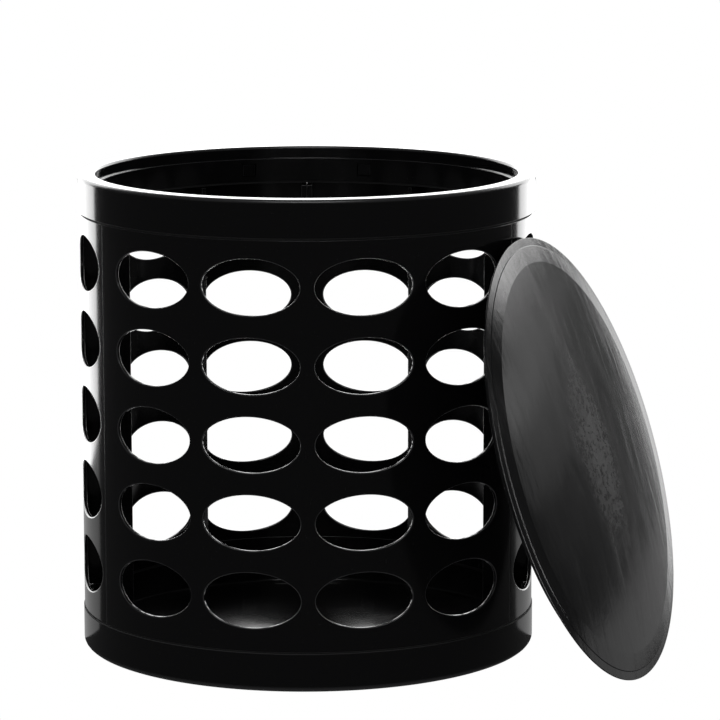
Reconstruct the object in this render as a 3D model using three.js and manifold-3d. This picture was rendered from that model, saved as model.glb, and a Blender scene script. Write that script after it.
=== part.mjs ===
// A round storage stool with an open, perforated drum. It is moulded in six plastic pieces: a base tray
// and a collar that hold three curved wall panels between them, and a domed lid that lifts off.
// The lid stands on its edge here, beside the drum, and leans on it.
//
// Millimetres, +Z up. The origin is on the drum's axis, in the plane of the base tray's underside.
// Azimuth 0 faces -Y, and azimuths grow from -Y towards +X.

import * as THREE from 'three';
import { mergeVertices } from 'three/addons/utils/BufferGeometryUtils.js';
import Module from 'manifold-3d';

const wasm = await Module();
wasm.setup();

// ---- Driving dimensions ---------------------------------------------------------------------------------

const totalHeight = 366; // top of the collar's rim
const wallRadius = 174; // outer face of the wall panels
const wallThickness = 3.2;
const fitGap = 0.3; // clearance between pieces that touch

// Base tray
const baseRadius = 174.6;
const baseSeamHeight = 29.6; // top of its outer wall, where the panels stand
const baseLipHeight = 42; // top of its inner wall, behind the panels
const baseCornerRadius = 4.5;
const floorThickness = 4.5;
const footRecess = 1.5; // depth of the ring-shaped recess between the centre pad and the foot ring
const centrePadRadius = 62;
const footRingRadius = 140;
const mouldedWall = 2.6; // walls of the base tray and the collar

// Collar
const collarRadius = 175.2;
const collarSeamHeight = 336.5; // bottom of its outer wall
const rimInnerRadius = 161.5;
const rimThickness = 3.5;
const ledgeDepth = 9.5; // from the rim down to the ledge in the collar's bore
const ledgeWidth = 2;
const rimOuterFillet = 4;
const rimInnerFillet = 2.2;

// Wall panels. The right and left panels mirror each other and meet at the back.
const frontSeam = THREE.MathUtils.degToRad(61.6); // where the front panel meets the right one
const holeColumns = 4;
const holeRows = 5;
const holeWidth = 73.8;
const holeHeight = 41.6;
const frontColumnPitch = THREE.MathUtils.degToRad(28.2);
const sideColumnPitch = THREE.MathUtils.degToRad(29.1);
const firstSideColumn = THREE.MathUtils.degToRad(75.9);
const rowPitch = 58.2;
const middleRowHeight = 185;
const tongueThickness = 1.3; // edge of the panel that slots into the base tray and the collar
const topTongueLength = 15;
const bottomTongueLength = 12;
const flangeInnerRadius = 153; // edge of the upright flanges where two panels meet
const flangeThickness = 4.2;
// Upright ribs behind the wall, between a panel's first and second columns and its third and fourth
const ribInnerRadius = 158.8;
const ribWidth = 3;

// Snap latches: a nub on each panel's tongue clicks into a window in the collar or the base tray
const latchWidth = 10;
const latchHeight = 8.6;
const latchClearance = 0.7;
const topLatchHeight = 347.5; // middle of the upper nubs
const bottomLatchHeight = 24;
const latchRecess = 1; // how far a nub stays back from the bore

// Lid, in its own frame: Z is its axis, and z = 0 is the underside of its edge
const lidRadius = 170.2;
const lidCrown = 12.5; // height of the dome's middle
const creaseRadius = 150.5; // where the dome meets the steeper border round it
const creaseHeight = 4.4;
const stepRadius = 163.4; // where the border steps down to a narrow brim
const stepTop = 2.4;
const stepBottom = 2;
const stepWidth = 0.4;
const lidEdgeHeight = 1.1; // top of the brim's upright edge
const lidEdgeRounding = 0.5; // radius under that edge
const lidThickness = 2.8;
const locatorRadius = 158; // ring under the lid that drops into the collar
const locatorDepth = 6.2;
const locatorThickness = 2.4;
const ribCount = 8;
const ribThickness = 2.4;
const ribDepth = 3; // how far the ribs reach below z = 0
const hubRadius = 14;
const ringRibRadius = 80;

// Where the lid stands: its lowest point on the floor, the way it faces and how far it leans
const lidFootDistance = 282.6;
const lidFootAzimuth = THREE.MathUtils.degToRad(64.1);
const lidFacing = THREE.MathUtils.degToRad(68.4);
const lidLean = THREE.MathUtils.degToRad(17.75);

// Fineness
const roundSegments = 48;
const holeSegments = 20;
const filletSteps = 2;

// ---- Worked out from those ------------------------------------------------------------------------------

const wallInnerRadius = wallRadius - wallThickness;
const tongueOuterRadius = wallInnerRadius + tongueThickness;
const slotOuterRadius = tongueOuterRadius + fitGap; // slots that take the tongues
const slotInnerRadius = wallInnerRadius - fitGap;
const panelBottom = baseSeamHeight + fitGap;
const panelTop = collarSeamHeight - fitGap;
const flangeBottom = baseLipHeight + fitGap;
const flangeTop = panelTop - 1;
const boreRadius = rimInnerRadius - ledgeWidth; // bore of the collar below the ledge
const frontColumns = columnsFrom(-frontColumnPitch * (holeColumns - 1) / 2, frontColumnPitch);
const rightColumns = columnsFrom(firstSideColumn, sideColumnPitch);
const leftColumns = rightColumns.map((azimuth) => -azimuth).reverse();
const panels = [
  { name: 'wall_panel_front', start: -frontSeam, end: frontSeam, columns: frontColumns },
  { name: 'wall_panel_right', start: frontSeam, end: Math.PI, columns: rightColumns },
  { name: 'wall_panel_left', start: -Math.PI, end: -frontSeam, columns: leftColumns },
];
const overlap = 0.4; // how far joined shapes reach into each other

// ---- Helpers --------------------------------------------------------------------------------------------

// Azimuths of a panel's columns of holes, in growing order.
function columnsFrom(first, pitch) {
  return Array.from({ length: holeColumns }, (_, column) => first + column * pitch);
}

function solidOf(geometry) {
  const bare = geometry.index ? geometry.toNonIndexed() : geometry.clone();
  bare.deleteAttribute('normal');
  bare.deleteAttribute('uv');
  const welded = mergeVertices(bare, 1e-4);
  return new wasm.Manifold(
    new wasm.Mesh({
      numProp: 3,
      vertProperties: new Float32Array(welded.attributes.position.array),
      triVerts: new Uint32Array(welded.index.array),
    }),
  );
}

function geometryOf(solid) {
  const mesh = solid.getMesh();
  const geometry = new THREE.BufferGeometry();
  geometry.setAttribute('position', new THREE.BufferAttribute(new Float32Array(mesh.vertProperties), 3));
  geometry.setIndex(new THREE.BufferAttribute(new Uint32Array(mesh.triVerts), 1));
  geometry.computeVertexNormals();
  return geometry;
}

function joined(solids) {
  return solids.reduce((whole, solid) => whole.add(solid));
}

// A closed outline of [radius, height] points, turned about +Z.
function turned(outline) {
  const points = outline.map(([radius, height]) => new THREE.Vector2(radius, height));
  const geometry = new THREE.LatheGeometry(points, roundSegments);
  return solidOf(geometry.rotateX(Math.PI / 2));
}

// Points on a quarter circle in an outline, from one angle to the other about its centre.
function arc(centreRadius, centreHeight, radius, fromAngle, toAngle) {
  const points = [];
  for (let step = 0; step <= filletSteps; step += 1) {
    const angle = THREE.MathUtils.lerp(fromAngle, toAngle, step / filletSteps);
    points.push([centreRadius + radius * Math.cos(angle), centreHeight + radius * Math.sin(angle)]);
  }
  return points;
}

// The part of a ring between two azimuths less than half a turn apart, set back a little from both.
function between(ring, start, end) {
  return ring
    .trimByPlane([Math.cos(start), Math.sin(start), 0], fitGap / 2)
    .trimByPlane([-Math.cos(end), -Math.sin(end), 0], fitGap / 2);
}

// A block whose middle lies on the given azimuth: wide across it, and reaching between two radii.
function radialBlock(azimuth, width, innerRadius, outerRadius, bottom, top) {
  const geometry = new THREE.BoxGeometry(width, outerRadius - innerRadius, top - bottom);
  geometry.translate(0, -(innerRadius + outerRadius) / 2, (bottom + top) / 2);
  return solidOf(geometry.rotateZ(azimuth));
}

// ---- Base tray ------------------------------------------------------------------------------------------

function makeBaseTray() {
  const slotBottom = panelBottom - bottomTongueLength - fitGap;
  const lipInnerRadius = slotInnerRadius - mouldedWall;
  const cornerCentre = baseRadius - baseCornerRadius;
  const tray = turned([
    [0, 0],
    [centrePadRadius, 0],
    [centrePadRadius, footRecess],
    [footRingRadius, footRecess],
    [footRingRadius, 0],
    ...arc(cornerCentre, baseCornerRadius, baseCornerRadius, -Math.PI / 2, 0),
    [baseRadius, baseSeamHeight],
    [slotOuterRadius, baseSeamHeight],
    [slotOuterRadius, slotBottom],
    [slotInnerRadius, slotBottom],
    [slotInnerRadius, baseLipHeight],
    [lipInnerRadius, baseLipHeight],
    [lipInnerRadius, floorThickness],
    [0, floorThickness],
  ]);
  return cutLatchWindows(tray, lipInnerRadius, slotInnerRadius, bottomLatchHeight);
}

// ---- Collar ---------------------------------------------------------------------------------------------

function makeCollar() {
  const ledgeHeight = totalHeight - ledgeDepth;
  const channelTop = totalHeight - rimThickness;
  const lowerSkirt = boreRadius + mouldedWall;
  const upperSkirt = rimInnerRadius + mouldedWall;
  const collar = turned([
    [slotOuterRadius, collarSeamHeight],
    [collarRadius, collarSeamHeight],
    ...arc(collarRadius - rimOuterFillet, totalHeight - rimOuterFillet, rimOuterFillet, 0, Math.PI / 2),
    ...arc(rimInnerRadius + rimInnerFillet, totalHeight - rimInnerFillet, rimInnerFillet, Math.PI / 2, Math.PI),
    [rimInnerRadius, ledgeHeight],
    [boreRadius, ledgeHeight],
    [boreRadius, collarSeamHeight],
    [lowerSkirt, collarSeamHeight],
    [lowerSkirt, ledgeHeight - mouldedWall],
    [upperSkirt, ledgeHeight],
    [upperSkirt, channelTop],
    [slotOuterRadius, channelTop],
    [slotOuterRadius, collarSeamHeight],
  ]);
  return cutLatchWindows(collar, boreRadius, lowerSkirt, topLatchHeight);
}

// A panel's two latches stand in line with its outer columns of holes.
function latchAzimuths(panel) {
  return [panel.columns[0], panel.columns[holeColumns - 1]];
}

// Cuts the two windows that each panel's nubs click into, all the way round.
function cutLatchWindows(solid, innerRadius, outerRadius, middleHeight) {
  const width = latchWidth + 2 * latchClearance;
  const bottom = middleHeight - latchHeight / 2 - latchClearance;
  const top = middleHeight + latchHeight / 2 + latchClearance;
  const windows = [];
  for (const azimuth of panels.flatMap(latchAzimuths)) {
    windows.push(radialBlock(azimuth, width, innerRadius - 1, outerRadius + 1, bottom, top));
  }
  return solid.subtract(joined(windows));
}

// ---- Wall panel -----------------------------------------------------------------------------------------

// The shape that cuts one oval hole through the wall.
function makeHole(azimuth, row) {
  const height = middleRowHeight + (row - (holeRows - 1) / 2) * rowPitch;
  const reach = 10; // how far the cutting shape passes each face of the wall
  const shape = new THREE.Shape();
  shape.absellipse(0, 0, holeWidth / 2, holeHeight / 2, 0, 2 * Math.PI, false, 0);
  const depth = wallThickness + 2 * reach;
  const curveSegments = holeSegments / 2;
  const geometry = new THREE.ExtrudeGeometry(shape, { depth, bevelEnabled: false, curveSegments });
  geometry.rotateX(Math.PI / 2); // the ellipse stands upright, and the depth runs along -Y
  geometry.translate(0, -(wallInnerRadius - reach), height);
  return solidOf(geometry.rotateZ(azimuth));
}

// The flange along one upright edge of a panel. It lies beside the plane where two panels meet, at the
// given azimuth, and side is 1 where the panel lies at greater azimuths than that and -1 elsewhere.
function makeFlange(azimuth, side) {
  const length = wallInnerRadius + overlap - flangeInnerRadius;
  const geometry = new THREE.BoxGeometry(flangeThickness, length, flangeTop - flangeBottom);
  const across = side * (fitGap / 2 + flangeThickness / 2);
  geometry.translate(across, -(flangeInnerRadius + length / 2), (flangeBottom + flangeTop) / 2);
  return solidOf(geometry.rotateZ(azimuth));
}

function makeWallPanel(panel) {
  const tongueTop = panelTop + topTongueLength;
  const tongueBottom = panelBottom - bottomTongueLength;
  const wall = turned([
    [wallInnerRadius, tongueBottom],
    [tongueOuterRadius, tongueBottom],
    [tongueOuterRadius, panelBottom],
    [wallRadius, panelBottom],
    [wallRadius, panelTop],
    [tongueOuterRadius, panelTop],
    [tongueOuterRadius, tongueTop],
    [wallInnerRadius, tongueTop],
    [wallInnerRadius, tongueBottom],
  ]);
  const bottomNubReach = slotInnerRadius - mouldedWall + latchRecess;
  const halfNub = latchHeight / 2;
  const outer = wallInnerRadius + overlap;
  const upperNub = [boreRadius + latchRecess, outer, topLatchHeight - halfNub, topLatchHeight + halfNub];
  const lowerNub = [bottomNubReach, outer, bottomLatchHeight - halfNub, bottomLatchHeight + halfNub];
  const pieces = [between(wall, panel.start, panel.end), makeFlange(panel.start, 1), makeFlange(panel.end, -1)];
  for (const azimuth of latchAzimuths(panel)) {
    pieces.push(radialBlock(azimuth, latchWidth, ...upperNub));
    pieces.push(radialBlock(azimuth, latchWidth, ...lowerNub));
  }
  for (const column of [0, 2]) {
    const azimuth = (panel.columns[column] + panel.columns[column + 1]) / 2;
    pieces.push(radialBlock(azimuth, ribWidth, ribInnerRadius, outer, flangeBottom, flangeTop));
  }
  const holes = [];
  for (const azimuth of panel.columns) {
    for (let row = 0; row < holeRows; row += 1) {
      holes.push(makeHole(azimuth, row));
    }
  }
  return joined(pieces).subtract(joined(holes));
}

// ---- Lid ------------------------------------------------------------------------------------------------

// Height of the dome's outer face at a radius, out to the crease.
function domeHeight(radius) {
  const rise = lidCrown - creaseHeight;
  const sphereRadius = (creaseRadius ** 2 + rise ** 2) / (2 * rise);
  return lidCrown - (sphereRadius - Math.sqrt(sphereRadius ** 2 - radius ** 2));
}

// The dome's face as outline points, from the axis out to the crease, lowered by some thickness.
function domeOutline(lowered) {
  const stations = [0, 60, 110, creaseRadius];
  return stations.map((radius) => [radius, domeHeight(radius) - lowered]);
}

// Height of the straight border's outer face at a radius.
function borderHeight(radius) {
  return THREE.MathUtils.mapLinear(radius, creaseRadius, stepRadius, creaseHeight, stepTop);
}

function makeLid() {
  const inside = locatorRadius - locatorThickness;
  const shell = turned([
    ...domeOutline(lidThickness),
    [inside, borderHeight(inside) - lidThickness],
    [inside, -locatorDepth],
    [locatorRadius, -locatorDepth],
    [locatorRadius, 0],
    ...arc(lidRadius - lidEdgeRounding, lidEdgeRounding, lidEdgeRounding, -Math.PI / 2, 0),
    [lidRadius, lidEdgeHeight],
    [stepRadius + stepWidth, stepBottom],
    [stepRadius, stepTop],
    ...domeOutline(0).reverse(),
  ]);
  // The ribs end on the shell's inner face, so they are cut from the space below its middle surface.
  const middle = lidThickness / 2;
  const ribSpace = turned([
    [0, -ribDepth],
    [inside + overlap, -ribDepth],
    [inside + overlap, borderHeight(inside) - middle],
    ...domeOutline(middle).reverse(),
  ]);
  const ribs = [ringRib(hubRadius), ringRib(ringRibRadius)];
  for (let rib = 0; rib < ribCount; rib += 1) {
    const azimuth = (rib * 2 * Math.PI) / ribCount;
    ribs.push(radialBlock(azimuth, ribThickness, hubRadius, locatorRadius, -ribDepth, lidCrown));
  }
  return shell.add(joined(ribs).intersect(ribSpace));
}

function ringRib(radius) {
  return turned([
    [radius - ribThickness / 2, -ribDepth],
    [radius + ribThickness / 2, -ribDepth],
    [radius + ribThickness / 2, lidCrown],
    [radius - ribThickness / 2, lidCrown],
    [radius - ribThickness / 2, -ribDepth],
  ]);
}

// Puts the lid on the floor on its edge, facing away from the drum and leaning back on it.
function standLid(mesh) {
  const level = Math.cos(lidLean);
  const outward = new THREE.Vector3(Math.sin(lidFacing) * level, -Math.cos(lidFacing) * level, Math.sin(lidLean));
  const upward = new THREE.Vector3(0, 0, 1).addScaledVector(outward, -outward.z).normalize();
  const across = new THREE.Vector3().crossVectors(upward, outward);
  mesh.quaternion.setFromRotationMatrix(new THREE.Matrix4().makeBasis(across, upward, outward));
  mesh.position.set(Math.sin(lidFootAzimuth), -Math.cos(lidFootAzimuth), 0).multiplyScalar(lidFootDistance);
  mesh.position.addScaledVector(upward, lidRadius - lidEdgeRounding + lidEdgeRounding / level);
  mesh.position.addScaledVector(outward, -lidEdgeRounding);
}

// ---- Assembly -------------------------------------------------------------------------------------------

const blackPlastic = { color: 0x0b0b0c, roughness: 0.18, metalness: 0 };
const satinPlastic = { color: 0x121213, roughness: 0.32, metalness: 0 };

const stool = new THREE.Group();

function addPiece(name, geometry, finish) {
  const mesh = new THREE.Mesh(geometry, new THREE.MeshStandardMaterial(finish));
  mesh.name = name;
  stool.add(mesh);
  return mesh;
}

addPiece('base_tray', geometryOf(makeBaseTray()), blackPlastic);

for (const panel of panels) {
  addPiece(panel.name, geometryOf(makeWallPanel(panel)), blackPlastic);
}

addPiece('collar', geometryOf(makeCollar()), blackPlastic);

standLid(addPiece('lid', geometryOf(makeLid()), satinPlastic));

export default stool;
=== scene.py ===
import math

import bmesh
import bpy
from mathutils import Matrix, Vector


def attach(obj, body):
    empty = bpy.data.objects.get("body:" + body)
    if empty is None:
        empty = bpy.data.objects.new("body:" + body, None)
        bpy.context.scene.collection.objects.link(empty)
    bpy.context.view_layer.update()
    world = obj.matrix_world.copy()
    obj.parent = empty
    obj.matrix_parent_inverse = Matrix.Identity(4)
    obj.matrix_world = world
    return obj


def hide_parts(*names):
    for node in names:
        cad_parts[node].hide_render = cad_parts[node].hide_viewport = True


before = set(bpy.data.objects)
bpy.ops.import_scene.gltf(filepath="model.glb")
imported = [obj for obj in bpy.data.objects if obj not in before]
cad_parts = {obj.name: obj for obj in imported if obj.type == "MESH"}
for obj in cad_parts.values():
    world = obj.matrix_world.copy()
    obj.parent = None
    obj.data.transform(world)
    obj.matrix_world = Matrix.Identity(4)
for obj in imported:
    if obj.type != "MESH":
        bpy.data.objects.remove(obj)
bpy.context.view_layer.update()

# Metres, +Z up, with the origin on the drum's axis in the plane of the base tray's underside.
# Azimuth 0 faces -Y, and azimuths grow from -Y towards +X.

# ---- Driving dimensions --------------------------------------

TOTAL_HEIGHT = 0.366
WALL_RADIUS = 0.174
WALL_THICKNESS = 0.0032
FIT_GAP = 0.0003
MOULDED_WALL = 0.0026
SOFT_CORNER = 0.0004  # radius on a corner that the mould leaves nearly sharp
SEAM_CORNER = 0.0006  # radius on the edges where outer faces meet at a seam
SHARP_CORNER = 0.0003  # radius on the corners of the groove under the collar
RIB_ROOT = 0.0004  # how far a rib reaches into the wall behind it

BASE_RADIUS = 0.1746
BASE_SEAM_HEIGHT = 0.0296
BASE_LIP_HEIGHT = 0.042
BASE_CORNER_RADIUS = 0.0045
FLOOR_THICKNESS = 0.0045
FLOOR_FILLET = 0.003
FOOT_RECESS = 0.0015
CENTRE_PAD_RADIUS = 0.062
FOOT_RING_RADIUS = 0.140

COLLAR_RADIUS = 0.1752
COLLAR_SEAM_HEIGHT = 0.3365
RIM_INNER_RADIUS = 0.1615
RIM_THICKNESS = 0.0035
LEDGE_DEPTH = 0.0095
LEDGE_WIDTH = 0.002
RIM_OUTER_FILLET = 0.003
RIM_INNER_FILLET = 0.0022
COLLAR_GROOVE_HEIGHT = 0.0009
COLLAR_GROOVE_DEPTH = 0.0012
SEAM_GRIME = 0.0008  # half the height of the dull line in a seam

FRONT_SEAM = math.radians(61.6)  # where the front panel meets the right one
HOLE_COLUMNS = 4
HOLE_ROWS = 5
HOLE_WIDTH = 0.0738
HOLE_HEIGHT = 0.0416
HOLE_EDGE = 0.0011  # radius on the edges of the holes
FRONT_COLUMN_PITCH = math.radians(28.2)
SIDE_COLUMN_PITCH = math.radians(29.1)
FIRST_SIDE_COLUMN = math.radians(75.9)
ROW_PITCH = 0.0582
MIDDLE_ROW_HEIGHT = 0.185
PANEL_EDGE = 0.0006  # radius on the upright edges where two panels meet
TONGUE_THICKNESS = 0.0013
TOP_TONGUE_LENGTH = 0.015
BOTTOM_TONGUE_LENGTH = 0.012
FLANGE_INNER_RADIUS = 0.153
FLANGE_THICKNESS = 0.0042
FLANGE_HEADROOM = 0.001
FLANGE_PRESS = 0.00002  # how far the flanges of two panels press into each other
RIB_INNER_RADIUS = 0.1588  # edge of the upright ribs behind the wall
PANEL_RIB_WIDTH = 0.003

LATCH_WIDTH = 0.010
LATCH_HEIGHT = 0.0086
LATCH_CLEARANCE = 0.0007
LATCH_RECESS = 0.001
TOP_LATCH_HEIGHT = 0.3475
BOTTOM_LATCH_HEIGHT = 0.024

LID_RADIUS = 0.1700
LID_CROWN = 0.0125
CREASE_RADIUS = 0.1505  # where the dome meets the steeper border round it
CREASE_HEIGHT = 0.0044
CREASE_ROUNDING = 0.001
NEAR_CREASE = 0.148  # radius at which the dome's points give way to the crease
DOME_RADII = (0, 0.020, 0.040, 0.060, 0.080, 0.100, 0.120, 0.136)
STEP_RADIUS = 0.1634  # where the border steps down to a narrow brim
STEP_TOP = 0.0024
STEP_BOTTOM = 0.0020
STEP_WIDTH = 0.0004
STEP_TOP_ROUNDING = 0.0004
STEP_FOOT_ROUNDING = 0.0002
LID_EDGE_HEIGHT = 0.0011
LID_EDGE_ROUNDING = 0.0005
BRIM_ROUNDING = 0.0004
LID_THICKNESS = 0.0028
LOCATOR_RADIUS = 0.158
LOCATOR_DEPTH = 0.0062
LOCATOR_THICKNESS = 0.0024
LOCATOR_FILLET = 0.001
RIB_COUNT = 8
RIB_THICKNESS = 0.0024
RIB_DEPTH = 0.003
HUB_RADIUS = 0.014
RING_RIB_RADIUS = 0.080

LID_FOOT_DISTANCE = 0.2826
LID_FOOT_AZIMUTH = math.radians(64.1)
LID_FACING = math.radians(68.4)
LID_LEAN = math.radians(17.75)

# Camera. It looks along +Y, and its yaw turns it towards +X.
CAMERA_PLACE = (0.0, -2.8619, 0.7175)
CAMERA_LENS = 188.03
CAMERA_SENSOR = 36.0
CAMERA_YAW = 0.0142
CAMERA_PITCH = -0.1726
CAMERA_ROLL = -0.0015
CAMERA_NEAR = 0.1
CAMERA_FAR = 60

# Fineness
ROUND_STEPS = 240
LID_STEPS = 288
HOLE_QUARTER = 16  # points round a quarter of a hole
HOLE_CORNER = 7  # of those, the ones below the corner of the hole's cell
CELL_CLEARANCE = math.radians(0.7)  # least distance from a hole's cell to the panel's edge
HOLE_LOOPS = 4  # loops of faces between a hole and the edges of its cell
HOLE_LOOP_POWER = 0.9  # below 1, the loops crowd towards the hole
ROUNDING_STEPS = 4  # steps round the rounded edges of holes and panels
PLAIN_STEPS = 3  # steps from the last cell to the rounding of a panel's upright edge
BEVEL_STEPS = 3  # steps round the edges at a bar's ends
RIB_STEPS = 12  # steps along a rib under the lid
ARC_STEP = math.radians(15)
NEIGHBOUR_SHARE = 0.3  # of a full step, the least one kept beside an azimuth that has to be there
NEAR_FACE = 0.9  # share of the way out from a tongue, past which a point is on the outer face
TINY = 1e-7  # metres or radians. Less than this counts as nothing.

# ---- Worked out from those -----------------------------------

WALL_INNER = WALL_RADIUS - WALL_THICKNESS
TONGUE_OUTER = WALL_INNER + TONGUE_THICKNESS
SLOT_OUTER = TONGUE_OUTER + FIT_GAP
SLOT_INNER = WALL_INNER - FIT_GAP
PANEL_BOTTOM = BASE_SEAM_HEIGHT + FIT_GAP
PANEL_TOP = COLLAR_SEAM_HEIGHT - FIT_GAP
FLANGE_BOTTOM = BASE_LIP_HEIGHT + FIT_GAP
FLANGE_TOP = PANEL_TOP - FLANGE_HEADROOM
BORE_RADIUS = RIM_INNER_RADIUS - LEDGE_WIDTH
BASE_LIP_INNER = SLOT_INNER - MOULDED_WALL
CELL_HALF_HEIGHT = ROW_PITCH / 2
BOTTOM_ROW_HEIGHT = MIDDLE_ROW_HEIGHT - (HOLE_ROWS - 1) / 2 * ROW_PITCH
CELLS_TOP = MIDDLE_ROW_HEIGHT + HOLE_ROWS * CELL_HALF_HEIGHT
CELLS_BOTTOM = MIDDLE_ROW_HEIGHT - HOLE_ROWS * CELL_HALF_HEIGHT
HOLE_POINTS = 4 * HOLE_QUARTER
DOME_RISE = LID_CROWN - CREASE_HEIGHT
DOME_SPHERE = (CREASE_RADIUS ** 2 + DOME_RISE ** 2) / (2 * DOME_RISE)


class Panel:
    """A wall panel's two seams and its columns of holes, as azimuths in growing order."""

    def __init__(self, side, start, end, first, pitch):
        self.side = side
        self.start = start
        self.end = end
        self.columns = [first + column * pitch for column in range(HOLE_COLUMNS)]
        self.latches = (self.columns[0], self.columns[-1])
        self.ribs = ((self.columns[0] + self.columns[1]) / 2, (self.columns[2] + self.columns[3]) / 2)
        self.cells = []
        for column in self.columns:
            left = min(pitch / 2, column - start - CELL_CLEARANCE)
            right = min(pitch / 2, end - column - CELL_CLEARANCE)
            self.cells.append((column, left, right))


LAST_SIDE_COLUMN = FIRST_SIDE_COLUMN + (HOLE_COLUMNS - 1) * SIDE_COLUMN_PITCH
FIRST_FRONT_COLUMN = -FRONT_COLUMN_PITCH * (HOLE_COLUMNS - 1) / 2
PANELS = (
    Panel("front", -FRONT_SEAM, FRONT_SEAM, FIRST_FRONT_COLUMN, FRONT_COLUMN_PITCH),
    Panel("right", FRONT_SEAM, math.pi, FIRST_SIDE_COLUMN, SIDE_COLUMN_PITCH),
    Panel("left", -math.pi, -FRONT_SEAM, -LAST_SIDE_COLUMN, SIDE_COLUMN_PITCH),
)


# ---- Outlines ------------------------------------------------
# An outline's points are (x, y, nx, ny, edge): a place, the outward normal there, and how much
# it belongs to a rounded edge. Walking along an outline, the plastic is on the left.

def direction(start, end):
    x = end[0] - start[0]
    y = end[1] - start[1]
    length = math.hypot(x, y)
    return x / length, y / length


def fillet(before, corner, after):
    """The points of the arc that rounds one corner, or the corner itself where it doesn't turn."""
    radius = corner[2]
    into = direction(before, corner)
    out = direction(corner, after)
    turn = math.atan2(into[0] * out[1] - into[1] * out[0], into[0] * out[0] + into[1] * out[1])
    if abs(turn) < TINY:
        return [(corner[0], corner[1], into[1], -into[0], 0.0)]
    reach = radius * math.tan(abs(turn) / 2)
    side = math.copysign(1.0, turn)
    start = (corner[0] - reach * into[0], corner[1] - reach * into[1])
    normal = (into[1], -into[0])
    centre = (start[0] - side * radius * normal[0], start[1] - side * radius * normal[1])
    steps = max(2, math.ceil(abs(turn) / ARC_STEP))
    points = []
    for step in range(steps + 1):
        angle = turn * step / steps
        nx = normal[0] * math.cos(angle) - normal[1] * math.sin(angle)
        ny = normal[0] * math.sin(angle) + normal[1] * math.cos(angle)
        # Convex roundings get a share of paler colour: partly wear, partly a painted highlight along
        # the edge.
        edge_wear_and_highlight = math.sin(math.pi * step / steps) if side > 0 else 0.0
        points.append((centre[0] + side * radius * nx, centre[1] + side * radius * ny, nx, ny, edge_wear_and_highlight))
    return points


def open_outline(corners):
    """An outline through (x, y, radius) corners, whose two ends stay sharp."""
    first = direction(corners[0], corners[1])
    last = direction(corners[-2], corners[-1])
    points = [(*corners[0][:2], first[1], -first[0], 0.0)]
    for before, corner, after in zip(corners, corners[1:], corners[2:]):
        points += fillet(before, corner, after)
    points.append((*corners[-1][:2], last[1], -last[0], 0.0))
    return points


def closed_outline(corners):
    """An outline all the way round (x, y, radius) corners."""
    points = []
    for index, corner in enumerate(corners):
        points += fillet(corners[index - 1], corner, corners[(index + 1) % len(corners)])
    return points


def block_outline(left, right, bottom, top):
    return closed_outline([
        (left, bottom, SOFT_CORNER),
        (right, bottom, SOFT_CORNER),
        (right, top, SOFT_CORNER),
        (left, top, SOFT_CORNER),
    ])


# ---- Solids --------------------------------------------------

def add_object(name, data):
    made = bpy.data.objects.new(name, data)
    bpy.context.scene.collection.objects.link(made)
    return made


class Skin:
    """The points, normals, edge wear with its painted highlight, and faces of one piece, gathered
    before its mesh is made.
    """

    def __init__(self):
        self.places = []
        self.normals = []
        self.edge_wear_and_highlight = []
        self.faces = []

    def point(self, place, normal, edge_wear_and_highlight=0.0):
        self.places.append(Vector(place))
        self.normals.append(Vector(normal).normalized())
        self.edge_wear_and_highlight.append(edge_wear_and_highlight)
        return len(self.places) - 1

    def quad(self, *corners):
        """A face, which is a triangle where two of its corners are the same point."""
        corners = list(dict.fromkeys(corners))
        if len(corners) > 2:
            self.faces.append(corners)

    def strip(self, first, second):
        """Faces between two rows of points. The first row lies to the left, seen from outside."""
        for index in range(len(first) - 1):
            self.quad(first[index], second[index], second[index + 1], first[index + 1])

    def ring(self, first, second):
        """Faces between two closed rows of points."""
        for index in range(len(first)):
            following = (index + 1) % len(first)
            self.quad(first[index], first[following], second[following], second[index])

    def bar(self, rows):
        """The faces of a bar through closed rows of points, with its two flat ends."""
        for first, second in zip(rows, rows[1:]):
            self.ring(first, second)
        self.faces.append(list(reversed(rows[0])))
        self.faces.append(list(rows[-1]))

    def make(self, name, material, matrix):
        """Makes the object. Its materials read the places as they are before the matrix moves them."""
        turn = matrix.to_3x3()
        mesh = bpy.data.meshes.new(name)
        mesh.from_pydata([matrix @ place for place in self.places], [], self.faces)
        mesh.polygons.foreach_set("use_smooth", [True] * len(mesh.polygons))
        # The edge attribute makes rounded edges paler in the materials: partly wear, partly a painted
        # highlight.
        edge = mesh.attributes.new("edge", "FLOAT", "POINT")
        edge.data.foreach_set("value", self.edge_wear_and_highlight)
        place = mesh.attributes.new("place", "FLOAT_VECTOR", "POINT")
        place.data.foreach_set("vector", [value for vector in self.places for value in vector])
        mesh.normals_split_custom_set_from_vertices([turn @ normal for normal in self.normals])
        mesh.materials.append(material)
        return add_object(name, mesh)


def polar(azimuth, outward, upward):
    """A place or a direction, from how far it goes outwards at an azimuth and upwards."""
    return outward * math.sin(azimuth), -outward * math.cos(azimuth), upward


def tangent(azimuth):
    """The level direction in which azimuths grow."""
    return Vector((math.cos(azimuth), math.sin(azimuth), 0))


def turn_to(azimuth, centre):
    """The signed turn from a centre to an azimuth, the short way round."""
    return (azimuth - centre + math.pi) % (2 * math.pi) - math.pi


def evenly_round(steps, extra=()):
    """Azimuths all the way round, with some that have to be there. Close neighbours are dropped."""
    kept = sorted(azimuth % (2 * math.pi) for azimuth in extra)
    least = NEIGHBOUR_SHARE * 2 * math.pi / steps
    azimuths = list(kept)
    for step in range(steps):
        azimuth = 2 * math.pi * step / steps
        if all(abs(turn_to(azimuth, other)) > least for other in kept):
            azimuths.append(azimuth)
    return sorted(azimuths)


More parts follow.
